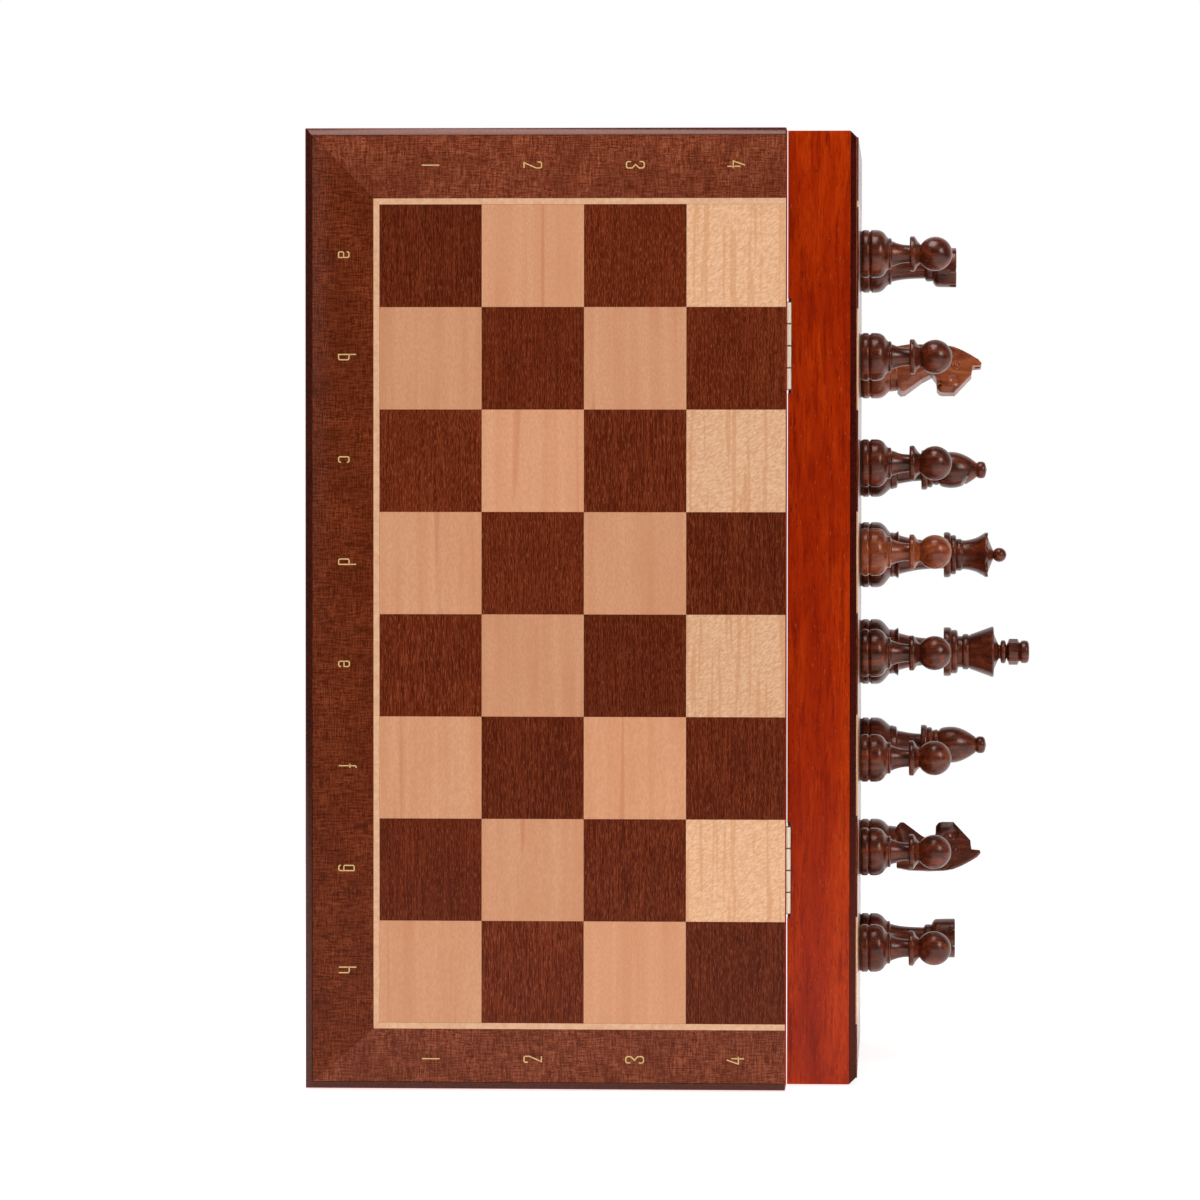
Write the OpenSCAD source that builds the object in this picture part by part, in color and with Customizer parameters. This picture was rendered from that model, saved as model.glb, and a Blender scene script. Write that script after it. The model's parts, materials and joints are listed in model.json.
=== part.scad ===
// Folding magnetic chess set, standing on edge and folded open like a book.
// Each half is a shallow tray: a playing panel on four rails, with a storage insert inside.
// Half A (ranks 1 to 4) faces -Y. Half B (ranks 5 to 8) stands square to it and faces +X.
// Both halves are drawn in the same flat coordinates: u away from the fold, v down from the
// playing face, and z along the fold. half_a() and half_b() put them in place.

/* [Board] */
// Side of the playing squares
square = 40.4; // [39:0.1:41]
// Side of the open board
board_side = 380; // [380:1:390]
// Thickness of one half
half_h = 28; // [27:0.5:32]
// How far the playing field sits off centre towards the h-file edge
field_shift = 1.9; // [0:0.1:2.5]
// Width that the saw took off the squares at the fold
fold_trim = 1.3; // [0:0.1:2]
// Width of the light stringing around the playing field
string_w = 2.4; // [1:0.1:3]
// Thickness of the playing panel with its veneer
panel_t = 3.2; // [3:0.1:4]
// Thickness of the veneer
veneer_t = 0.6; // [0.4:0.1:0.8]
// Ledge between the bevel and the edge of the veneer
veneer_ledge = 0.4; // [0.2:0.1:0.6]
// Thickness of the rails
rail_t = 9; // [8:0.5:10]
// Gap between the two halves at the fold and at the closed rims
fold_gap = 0.3; // [0.3:0.1:0.8]
// Thickness of the steel sheet under the panel
steel_t = 0.5; // [0.3:0.1:0.6]

/* [Hinges] */
// Length of one hinge
hinge_len = 35; // [30:1:40]
// Distance of each hinge from the middle of the fold
hinge_z = 104.5; // [90:0.5:120]
// Radius of the hinge knuckles
knuckle_r = 1.5; // [1.4:0.1:1.8]
// Radius of the hinge pin
pin_r = 0.6; // [0.5:0.05:0.7]
// Width of one hinge leaf
leaf_w = 7.5; // [7:0.1:8]
// Thickness of one hinge leaf
leaf_t = 1; // [0.8:0.1:1.2]
// Length of the leaf screws
screw_len = 8; // [6:1:10]

/* [Chess pieces] */
// Radius of the pawn's base
pawn_r = 9.9; // [9:0.1:10]
// Radius of the rook's base
rook_r = 10.5; // [10:0.1:11]
// Radius of the knight's base
knight_r = 11; // [10.5:0.1:11.5]
// Radius of the bishop's base
bishop_r = 11.4; // [11:0.1:11.6]
// Radius of the queen's base
queen_r = 13.75; // [13.3:0.05:13.9]
// Radius of the king's base
king_r = 13.7; // [13.3:0.1:13.9]
// Overall height of the king
king_h = 71; // [71:0.5:72]
// Thickness of the felt pad under a piece
pad_t = 0.6; // [0.4:0.1:0.8]
// Thickness of the magnet in a base
magnet_t = 3; // [2:0.5:4]
// Radius of a pawn's magnet
small_magnet_r = 5; // [4:0.5:6]
// Radius of the other pieces' magnets
large_magnet_r = 6; // [5:0.5:7]

/* [Storage] */
// Thickness of the insert's floor
insert_floor = 1.5; // [1:0.5:2]
// Height of the insert's dividers above its floor
divider_h = 14.5; // [12:0.5:15]
// Spacing of the compartments along the fold
row_pitch = 44; // [43:0.1:44.5]
// Length of a compartment for a major piece
major_len = 74; // [74:0.5:76]
// Length of a compartment for a pawn
pawn_len = 62; // [45:1:64]

/* [Hidden] */
$fn = 64;
hairline = 0.05;
half_w = board_side / 2;
fit_gap = 0.3;
axis_v = half_h + fold_gap / 2;
field_low = (board_side - 8 * square) / 2 - field_shift;
field_high = field_low + 8 * square;
veneer_inset = panel_t - veneer_t + veneer_ledge;
tray_v = panel_t + steel_t;
floor_v = tray_v + insert_floor;
tray_len = board_side - 2 * rail_t;
knuckle_len = hinge_len / 4;
mortise_slack = 1.4;
mortise_len = hinge_len + 2 * mortise_slack;
knuckle_gap = 0.15;
tab_w = 2;
screw_spread = 13;
screw_r = 0.95;
screw_head_r = 2;
closure_z = [95, board_side - 95];
closure_r = 3;
closure_t = 2;
outer_bar = 6;
middle_bar = 14;
seat_gap = 0.05;
// Gap between a stored base and the end of its compartment
end_gap = 1;
// How far a cut runs past a face
over = 1;
// Middle of the overall box at its foot, measured from the fold and the playing face of half A
origin = [(axis_v + king_h - half_w - fold_gap / 2) / 2, (half_h + fold_gap + half_w) / 2, 0];

FILES = ["a", "b", "c", "d", "e", "f", "g", "h"];
MAJORS = ["rook", "knight", "bishop", "queen", "king", "bishop", "knight", "rook"];
BASE_R = [rook_r, knight_r, bishop_r, queen_r, king_r, bishop_r, knight_r, rook_r];
// How far each dark piece stands off the centre of its square, towards the h file
PAWN_OFF = [-4.8, -2.6, 1.0, -2.6, -1.1, 2.1, 0.6, 0.3];
MAJOR_OFF = [-0.3, 3.9, 3.9, -0.8, -0.4, -1.6, 0, -0.8];
// Turn of each dark major piece about its own axis
MAJOR_TURN = [10, -105, 250, 0, 0, 30, 84, 25];

HALF_NODES = ["panel_core", "border_veneer", "stringing", "light_squares", "dark_squares",
              "outer_rail", "fold_rail", "end_rails", "steel_sheet", "storage_insert",
              "hinge_leaves", "hinge_screws", "closure_magnets"];

// ---- Placing ----

// Half A: the fold at X = 0 and the playing face towards -Y
module half_a()
    translate(-origin) mirror([1, 0, 0]) translate([fold_gap / 2, 0, 0]) children();

// Half B: turned a quarter turn about the hinge axis
module half_b()
    translate(-origin) translate([axis_v, axis_v, 0]) rotate([0, 0, 90])
        translate([fold_gap / 2, 0, 0]) children();

// Draws a profile in (u, z) through the depths v0 to v1
module slab(v0, v1) translate([0, v1, 0]) rotate([90, 0, 0]) linear_extrude(v1 - v0) children();

// ---- Playing panel ----

// Distance from the fold to the far side of a number of ranks
function ranks(n) = n * square - (n > 0 ? fold_trim : 0);
field_w = ranks(4);
bevel = panel_t - veneer_t;

module panel_core() {
    intersection() {
        linear_extrude(board_side)
            polygon([[0, veneer_t], [half_w - bevel, veneer_t], [half_w, panel_t], [0, panel_t]]);
        rotate([90, 0, 90]) linear_extrude(half_w)
            polygon([[veneer_t, bevel], [veneer_t, board_side - bevel],
                     [panel_t, board_side], [panel_t, 0]]);
    }
}

// A three-sided mitred frame between an inner line [u, z_low, z_high] and an outer one
module mitred_frame(inner, outer) {
    slab(0, veneer_t) polygon([[inner[0], inner[1]], [outer[0], outer[1]],
                               [outer[0], outer[2]], [inner[0], inner[2]]]);
    for (side = [1, 2])
        slab(0, veneer_t) polygon([[0, inner[side]], [inner[0] - hairline, inner[side]],
                                   [outer[0] - hairline, outer[side]], [0, outer[side]]]);
}

module border_veneer()
    mitred_frame([field_w + string_w + hairline, field_low - string_w - hairline,
                  field_high + string_w + hairline],
                 [half_w - veneer_inset, veneer_inset, board_side - veneer_inset]);

module stringing()
    mitred_frame([field_w + hairline, field_low - hairline, field_high + hairline],
                 [field_w + string_w, field_low - string_w, field_high + string_w]);

// The squares of one tone. Square (0, 0) lies at the fold on the a file.
module squares(tone)
    for (rank = [0:3], file = [0:7])
        if ((rank + file) % 2 == tone)
            translate([ranks(rank) + hairline / 2, 0, field_high - (file + 1) * square + hairline / 2])
                cube([ranks(rank + 1) - ranks(rank) - hairline, veneer_t, square - hairline]);

module steel_sheet()
    translate([rail_t + fit_gap, panel_t, rail_t + fit_gap])
        cube([half_w - 2 * rail_t - 2 * fit_gap, steel_t, tray_len - 2 * fit_gap]);

// ---- Rails ----

module outer_rail() {
    difference() {
        slab(panel_t, half_h)
            polygon([[half_w, 0], [half_w, board_side], [half_w - rail_t, board_side - rail_t],
                     [half_w - rail_t, rail_t]]);
        for (z = closure_z) closure_disc(z, closure_r + hairline, closure_t + hairline, hairline);
    }
}

module end_rails()
    for (z0 = [0, board_side]) {
        toward = z0 == 0 ? rail_t : -rail_t;
        slab(panel_t, half_h)
            polygon([[0, z0], [half_w, z0], [half_w - rail_t, z0 + toward], [rail_t, z0 + toward]]);
    }

module fold_rail() {
    difference() {
        slab(panel_t, half_h)
            polygon([[0, 0], [0, board_side], [rail_t, board_side - rail_t], [rail_t, rail_t]]);
        for_each_hinge() {
            translate([-over, half_h - leaf_t - hairline, -mortise_len / 2])
                cube([over + leaf_w + hairline, leaf_t + over, mortise_len]);
            on_axis(-mortise_len / 2) cylinder(r = knuckle_r + fit_gap, h = mortise_len);
            for_each_screw() screw(hairline);
        }
    }
}

// A disc let into the rim of the outer rail
module closure_disc(z, r, t, proud = 0)
    translate([half_w - rail_t / 2, half_h + proud, z]) rotate([90, 0, 0]) cylinder(r = r, h = t + proud);

module closure_magnets() for (z = closure_z) closure_disc(z, closure_r, closure_t);

// ---- Hinges ----

module for_each_hinge() for (s = [-1, 1]) translate([0, 0, board_side / 2 + s * hinge_z]) children();

module on_axis(z) translate([-fold_gap / 2, axis_v, z]) children();

module for_each_screw()
    for (z = [-screw_spread, 0, screw_spread]) translate([rail_t / 2, half_h, z]) children();

// One countersunk screw with its head flush; grow widens it for its hole
module screw(grow = 0)
    rotate([90, 0, 0]) {
        cylinder(r1 = screw_head_r + grow, r2 = screw_r + grow, h = leaf_t);
        cylinder(r = screw_r + grow, h = screw_len + 2 * grow);
    }

// The leaves of one half. Their knuckles start at the first quarter of the length or the second.
module hinge_leaves(first)
    for_each_hinge() difference() {
        union() {
            difference() {
                translate([fit_gap, half_h - leaf_t, -hinge_len / 2])
                    cube([leaf_w - fit_gap, leaf_t, hinge_len]);
                on_axis(-hinge_len / 2 - over)
                    cylinder(r = knuckle_r + knuckle_gap, h = hinge_len + 2 * over);
            }
            for (k = [first, first + 2]) {
                on_axis(k * knuckle_len - hinge_len / 2 + hairline)
                    cylinder(r = knuckle_r, h = knuckle_len - 2 * hairline);
                translate([fit_gap, half_h - leaf_t, k * knuckle_len - hinge_len / 2 + hairline])
                    cube([tab_w, leaf_t, knuckle_len - 2 * hairline]);
            }
        }
        on_axis(-hinge_len / 2 - over) cylinder(r = pin_r + hairline, h = hinge_len + 2 * over);
        for_each_screw() screw(hairline);
    }

module hinge_screws() for_each_hinge() for_each_screw() screw();

module hinge_pins()
    for_each_hinge() on_axis(-hinge_len / 2) cylinder(r = pin_r, h = hinge_len);

// ---- Storage insert: a foam floor and glued divider strips ----

function column_z(row) = board_side / 2 + (3.5 - row) * row_pitch;

// A strip of foam between [u0, z0] and [u1, z1] on the floor
module divider(u0, z0, u1, z1)
    translate([u0, floor_v + hairline, z0]) cube([u1 - u0, divider_h - hairline, z1 - z0]);

// One column of eight compartments, with the widths of its pieces
module compartment_column(u0, u1, widths) {
    edges = [for (i = [0:7]) [column_z(i) - widths[i] / 2, column_z(i) + widths[i] / 2]];
    low = rail_t + fit_gap;
    high = board_side - rail_t - fit_gap;
    divider(u0 + hairline, edges[0][1], u1 - hairline, high);
    divider(u0 + hairline, low, u1 - hairline, edges[7][0]);
    for (i = [0:6]) divider(u0 + hairline, edges[i + 1][1], u1 - hairline, edges[i][0]);
}

insert_end = half_w - rail_t - fit_gap;
major_end = insert_end - outer_bar;
major_start = major_end - major_len;
pawn_end = major_start - middle_bar;
pawn_start = pawn_end - pawn_len;
pocket_slack = 1.2;

module storage_insert() {
    low = rail_t + fit_gap;
    high = board_side - rail_t - fit_gap;
    translate([low, tray_v, low]) cube([insert_end - low, insert_floor, high - low]);
    divider(major_end, low, insert_end, high);
    divider(pawn_end, low, major_start, high);
    divider(low, low, pawn_start, high);
    compartment_column(major_start, major_end, [for (r = BASE_R) 2 * r + pocket_slack]);
    compartment_column(pawn_start, pawn_end, [for (i = [0:7]) 2 * pawn_r + pocket_slack]);
}

// ---- Chess pieces: each stands on z = 0, with its axis along +Z ----

// Points of an arc about centre c
function arc(c, r, a0, a1, n = 5) =
    [for (i = [0:n]) let (a = a0 + (a1 - a0) * i / n) c + r * [cos(a), sin(a)]];

// Two rings with a groove between, up to height top
function base_rings(r, top) = concat(
    [[0, pad_t + seat_gap + hairline], [r - 0.7, pad_t + seat_gap + hairline]],
    arc([r - 0.9, 1.8], 0.9, -60, 0, 2),
    arc([r - 0.6, 3.1], 0.6, 0, 80, 2),
    [[r - 0.8, 4.1]],
    arc([r - 0.7, 4.9], 0.7, -80, 0, 2),
    arc([r - 0.8, top - 0.8], 0.8, 0, 80, 3));

// A stepped shoulder that draws in from the base rings to the lip
function shoulder(r, h, lip_r, lip_h) = concat(
    [for (i = [0:4]) [lip_r + (r - lip_r) * pow(1 - i / 4, 2), h + (lip_h - 1.5 - h) * i / 4]],
    [[lip_r, lip_h]]);

module turned(points) rotate_extrude($fn = 96) polygon(points);

module pawn()
    turned(concat(base_rings(pawn_r, 7.6), shoulder(9, 8.9, 6.3, 12.8),
                  [[5.3, 13.2], [4.5, 15.3], [4, 17], [3.65, 18.6], [3.6, 20.4]],
                  arc([6.5, 21.6], 0.9, -70, 70, 4), [[4.8, 23.9]],
                  arc([0, 31], 7.1, -55, 90, 12)));

module rook()
    difference() {
        turned(concat(base_rings(rook_r, 7.1), shoulder(8.9, 8.3, 7, 12.5),
                      [[5.8, 13.3], [5.15, 16.8], [4.8, 20], [4.5, 23], [4.5, 26.5]],
                      arc([5.1, 28.6], 0.9, -75, 75, 4),
                      [[6.2, 30.5], [7.6, 31.2], [8, 31.8], [8.3, 39.6], [8, 40],
                       [5.4, 40], [5.2, 36.5], [0, 35.8]]));
        for (a = [0, 60, 120])
            rotate([0, 0, a]) translate([-10, -0.9, 37.2]) cube([20, 1.8, 4]);
    }

module bishop()
    difference() {
        turned(concat(base_rings(bishop_r, 7.6), shoulder(10.6, 9, 7.9, 12.6),
                      [[7.6, 15], [5.8, 16], [5.35, 18.5], [4.85, 22], [4.7, 25.3]],
                      arc([7.6, 26.7], 0.95, -80, 60, 4), arc([6.8, 29.2], 0.7, -60, 70, 3),
                      [[5.9, 30.8]], arc([5.7, 31.9], 0.7, -60, 60, 3),
                      [[5.7, 32.9], [6.7, 33.5], [7.4, 35.4], [7.6, 37.5], [7.45, 40], [6.9, 42.3],
                       [6.0, 44.3], [4.8, 46.2], [3.3, 48], [2.3, 48.7]],
                      arc([0, 50.3], 2.7, -30, 90, 6)));
        translate([6.5, 0, 43]) rotate([0, 35, 0]) cube([11, 20, 1], center = true);
    }

module queen()
    difference() {
        turned(concat(base_rings(queen_r, 8.1), shoulder(12.9, 9.2, 9.9, 14),
                      [[9.7, 16], [8.2, 16.6], [7.5, 19], [6.9, 22], [6, 27], [5.8, 33], [5.9, 34.9]],
                      arc([8.5, 36.2], 1.05, -75, 60, 4), arc([7.5, 39], 0.8, -60, 70, 3),
                      [[6.5, 40.4], [6.7, 41.5], [6.2, 43.2], [6.2, 44.5], [6.6, 47], [7.4, 49.5],
                       [8.7, 51.4], [9.4, 52.6], [9.3, 53.6], [8, 53.2], [6, 54], [3.2, 55.2],
                       [1.9, 55.8]],
                      arc([0, 58.4], 2.9, -50, 90, 7)));
        for (i = [0:8])
            rotate([0, 0, 40 * i]) translate([9.6, 0, 54.4]) sphere(r = 1.9, $fn = 32);
    }

module king() {
    turned(concat(base_rings(king_r, 7.6), shoulder(13, 8.5, 9.8, 13.4),
                  [[10, 15.8], [7.7, 16.6], [6.8, 20], [6, 23.4], [5.4, 27], [5.3, 31], [5.5, 34.9]],
                  arc([9.2, 36.4], 1.1, -75, 60, 4), arc([8.3, 39.4], 0.9, -60, 70, 3),
                  [[6.4, 41.2], [6.6, 43]], arc([6.7, 44.2], 0.8, -60, 60, 3),
                  [[6.8, 45.5], [7.6, 47.2], [9.1, 51.2], [10.7, 55.4], [10.2, 56], [7, 56],
                   [4.6, 57.3], [2.8, 58.4]],
                  arc([4, 59.7], 0.9, -70, 70, 3), [[2.9, 61.1], [0, 61.1]]));
    rotate([0, 0, 22.5]) {
        translate([0, 0, 60.5]) cylinder(r1 = 2.4, r2 = 4.7, h = 1.9, $fn = 64);
        translate([0, 0, 62.2]) cylinder(r = 5.5, h = 4.1, $fn = 8);
        translate([0, 0, 66]) cylinder(r1 = 4.7, r2 = 3.4, h = 1.4, $fn = 64);
    }
    translate([0, 0, 67]) rotate_extrude($fn = 64)
        polygon(concat([[0, 0], [3.8, 0.1]], arc([3.8, 1.4], 0.9, -60, 60, 3),
                       [[2, king_h - 67.3], [0, king_h - 67]]));
}

// Outline of the knight's head in (towards the muzzle, up)
KNIGHT_HEAD = [[-9.6, 15.4], [7.6, 15.4], [9.3, 17], [9.3, 18.4], [3.8, 25.8], [1.6, 30], [3.4, 31.4],
               [5, 31.8], [7.8, 31.9], [9.2, 33], [9.6, 34.4], [9.6, 39.2], [1.9, 46.4], [-0.4, 46.6],
               [-1.9, 46.9], [-2.2, 50.3], [-3.4, 50.7], [-5, 49.3], [-7, 46], [-8.8, 42.6],
               [-10.2, 39.2], [-10.9, 35.2], [-11.1, 29], [-10.8, 20.9]];

module knight() {
    turned(concat(base_rings(knight_r, 7.6), shoulder(10, 8.7, 8, 12.6),
                  [[7.8, 15], [7.2, 15.8], [0, 15.8]]));
    difference() {
        intersection() {
            rotate([90, 0, 0]) linear_extrude(12, center = true) polygon(KNIGHT_HEAD);
            rotate([90, 0, 90]) linear_extrude(60, center = true)
                polygon([[-6, 15], [6, 15], [5.8, 30], [4.6, 42],
                         [3.2, 52], [-3.2, 52], [-4.6, 42], [-5.8, 30]]);
        }
        for (s = [-1, 1]) {
            translate([10.5, s * 5.4, 36]) rotate([0, 0, s * 24]) cube([14, 4, 14], center = true);
            translate([0, s * 6.6, 52]) rotate([s * 4, 0, 0]) cube([30, 6, 9], center = true);
        }
    }
    for (s = [-1, 1])
        translate([-2, s * 4.6, 40]) rotate([90, 0, 0]) cylinder(r = 1.3, h = 1, center = true);
}

module shape(kind) {
    if (kind == "pawn") pawn();
    if (kind == "rook") rook();
    if (kind == "knight") knight();
    if (kind == "bishop") bishop();
    if (kind == "queen") queen();
    if (kind == "king") king();
}

// A whole piece: the wooden body, the magnet in its base and the felt pad that covers it
module chess_piece(kind, base_r) {
    magnet_r = kind == "pawn" ? small_magnet_r : large_magnet_r;
    base_z = seat_gap + pad_t + hairline;
    difference() {
        shape(kind);
        translate([0, 0, base_z - over])
            cylinder(r = magnet_r + hairline, h = magnet_t + over + hairline);
    }
    translate([0, 0, base_z]) cylinder(r = magnet_r, h = magnet_t);
    translate([0, 0, seat_gap]) cylinder(r = base_r - 0.5, h = pad_t);
}

// Stands a piece on a square of half B. Rank 0 is at the fold.
module on_board(rank, file, off)
    half_b() translate([(ranks(rank) + ranks(rank + 1)) / 2, 0, field_high - (file + 0.5) * square - off])
        rotate([90, 0, 0]) children();

// Lays a piece in a compartment of half A, with its base towards the outer rail
module in_store(u, row, base_r)
    half_a() translate([u, floor_v + fit_gap + base_r, column_z(row)]) rotate([0, -90, 0]) children();

module dark_pawn(file) color("saddlebrown") on_board(2, file, PAWN_OFF[file]) chess_piece("pawn", pawn_r);

module dark_major(file)
    color("saddlebrown") on_board(3, file, MAJOR_OFF[file])
        rotate([0, 0, MAJOR_TURN[file]]) chess_piece(MAJORS[file], BASE_R[file]);

module light_pawn(file)
    color("burlywood") in_store(pawn_end - end_gap, file, pawn_r) chess_piece("pawn", pawn_r);

module light_major(file)
    color("burlywood") in_store(major_end - end_gap, file, BASE_R[file])
        chess_piece(MAJORS[file], BASE_R[file]);

// ---- Nodes ----

// One part of half A (side 0) or half B (side 1). The tones swap over from half to half, and the
// insert of half B is turned end for end, so that tall bases never meet when the set is closed.
module half_part(name, side) {
    if (name == "panel_core") color([0.24, 0.07, 0.05]) panel_core();
    if (name == "border_veneer") color([0.47, 0.22, 0.15]) border_veneer();
    if (name == "stringing") color([0.92, 0.75, 0.59]) stringing();
    if (name == "light_squares") color([0.87, 0.65, 0.49]) squares(side);
    if (name == "dark_squares") color([0.43, 0.18, 0.11]) squares(1 - side);
    if (name == "outer_rail") color([0.65, 0.18, 0.03]) outer_rail();
    if (name == "fold_rail") color([0.65, 0.18, 0.03]) fold_rail();
    if (name == "end_rails") color([0.65, 0.18, 0.03]) end_rails();
    if (name == "steel_sheet") color("lightsteelblue") steel_sheet();
    if (name == "storage_insert") color("dimgray") translate([side * half_w, 0, 0])
        mirror([side, 0, 0]) storage_insert();
    if (name == "hinge_leaves") color("gold") hinge_leaves(side);
    if (name == "hinge_screws") color("goldenrod") hinge_screws();
    if (name == "closure_magnets") color("silver") closure_magnets();
}

for (n = HALF_NODES) {
    half_a() half_part(n, 0);
    half_b() half_part(n, 1);
}
color("gold") half_a() hinge_pins();
for (f = [0:7]) {
    dark_pawn(f);
    light_pawn(f);
    dark_major(f);
    light_major(f);
}
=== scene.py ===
import json
import math

import bmesh
import bpy
from mathutils import Color, Matrix, Vector

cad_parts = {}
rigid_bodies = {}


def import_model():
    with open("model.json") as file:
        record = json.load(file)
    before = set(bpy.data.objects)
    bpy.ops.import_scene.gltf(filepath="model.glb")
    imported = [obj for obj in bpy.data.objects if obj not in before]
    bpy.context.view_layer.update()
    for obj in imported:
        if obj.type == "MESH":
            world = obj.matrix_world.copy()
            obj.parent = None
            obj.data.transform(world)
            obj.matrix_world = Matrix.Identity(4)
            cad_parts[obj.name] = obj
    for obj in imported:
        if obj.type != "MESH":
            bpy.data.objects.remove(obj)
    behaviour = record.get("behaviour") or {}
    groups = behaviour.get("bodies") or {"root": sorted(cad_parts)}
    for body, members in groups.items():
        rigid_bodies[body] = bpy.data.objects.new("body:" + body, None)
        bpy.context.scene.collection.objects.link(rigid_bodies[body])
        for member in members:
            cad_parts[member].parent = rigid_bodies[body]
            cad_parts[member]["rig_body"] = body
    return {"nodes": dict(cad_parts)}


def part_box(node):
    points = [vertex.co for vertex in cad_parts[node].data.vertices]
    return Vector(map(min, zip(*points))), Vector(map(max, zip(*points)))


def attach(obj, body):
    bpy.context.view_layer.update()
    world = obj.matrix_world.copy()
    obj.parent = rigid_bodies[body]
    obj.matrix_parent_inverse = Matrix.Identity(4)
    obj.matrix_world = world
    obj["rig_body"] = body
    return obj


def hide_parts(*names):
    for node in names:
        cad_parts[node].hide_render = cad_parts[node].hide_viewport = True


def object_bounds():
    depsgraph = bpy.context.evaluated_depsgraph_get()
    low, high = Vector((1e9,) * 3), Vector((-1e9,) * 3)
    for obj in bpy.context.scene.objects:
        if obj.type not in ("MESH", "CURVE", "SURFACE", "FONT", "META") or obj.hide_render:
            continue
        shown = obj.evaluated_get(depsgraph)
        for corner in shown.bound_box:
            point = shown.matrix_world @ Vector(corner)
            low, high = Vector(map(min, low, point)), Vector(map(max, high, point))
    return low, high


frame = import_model()
cad_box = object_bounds()

MM = 0.001
FILES = "abcdefgh"
MAJORS = ["rook", "knight", "bishop", "queen", "king", "bishop", "knight", "rook"]
HALVES = ("a", "b")

# -------------------------------------------------------- places

# Both halves share flat coordinates: u away from the fold, v down from the playing face, z up.
FOLD_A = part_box("fold_rail_a")[1].x
FACE_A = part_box("border_veneer_a")[0].y
FOLD_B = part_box("fold_rail_b")[0].y
FACE_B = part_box("border_veneer_b")[1].x
HALF = {
    "a": Matrix(((-1, 0, 0, FOLD_A), (0, 1, 0, FACE_A), (0, 0, 1, 0), (0, 0, 0, 1))),
    "b": Matrix(((0, -1, 0, FACE_B), (1, 0, 0, FOLD_B), (0, 0, 1, 0), (0, 0, 0, 1))),
}
FIELD_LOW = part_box("light_squares_a")[0].z
FIELD_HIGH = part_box("light_squares_a")[1].z
SQUARE = (FIELD_HIGH - FIELD_LOW) / 8
FIELD_W = FOLD_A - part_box("light_squares_a")[0].x
STRINGING = FIELD_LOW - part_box("stringing_a")[0].z
FOLD_TRIM = 4 * SQUARE - FIELD_W
SIDE = cad_box[1].z
# As in the CAD: from the board's middle to the middle of each hinge, and a hinge's length
HINGE_FROM_MIDDLE = 104.5 * MM
HINGE_LENGTH = 35 * MM
# How far the knuckles' shadow lines reach, a little past their radius
KNUCKLE_REACH = 1.7 * MM
PIN_AXIS = (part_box("hinge_pins")[0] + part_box("hinge_pins")[1]) / 2
HALF_W = FOLD_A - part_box("outer_rail_a")[0].x


# -------------------------------------------------------- node helpers


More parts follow.
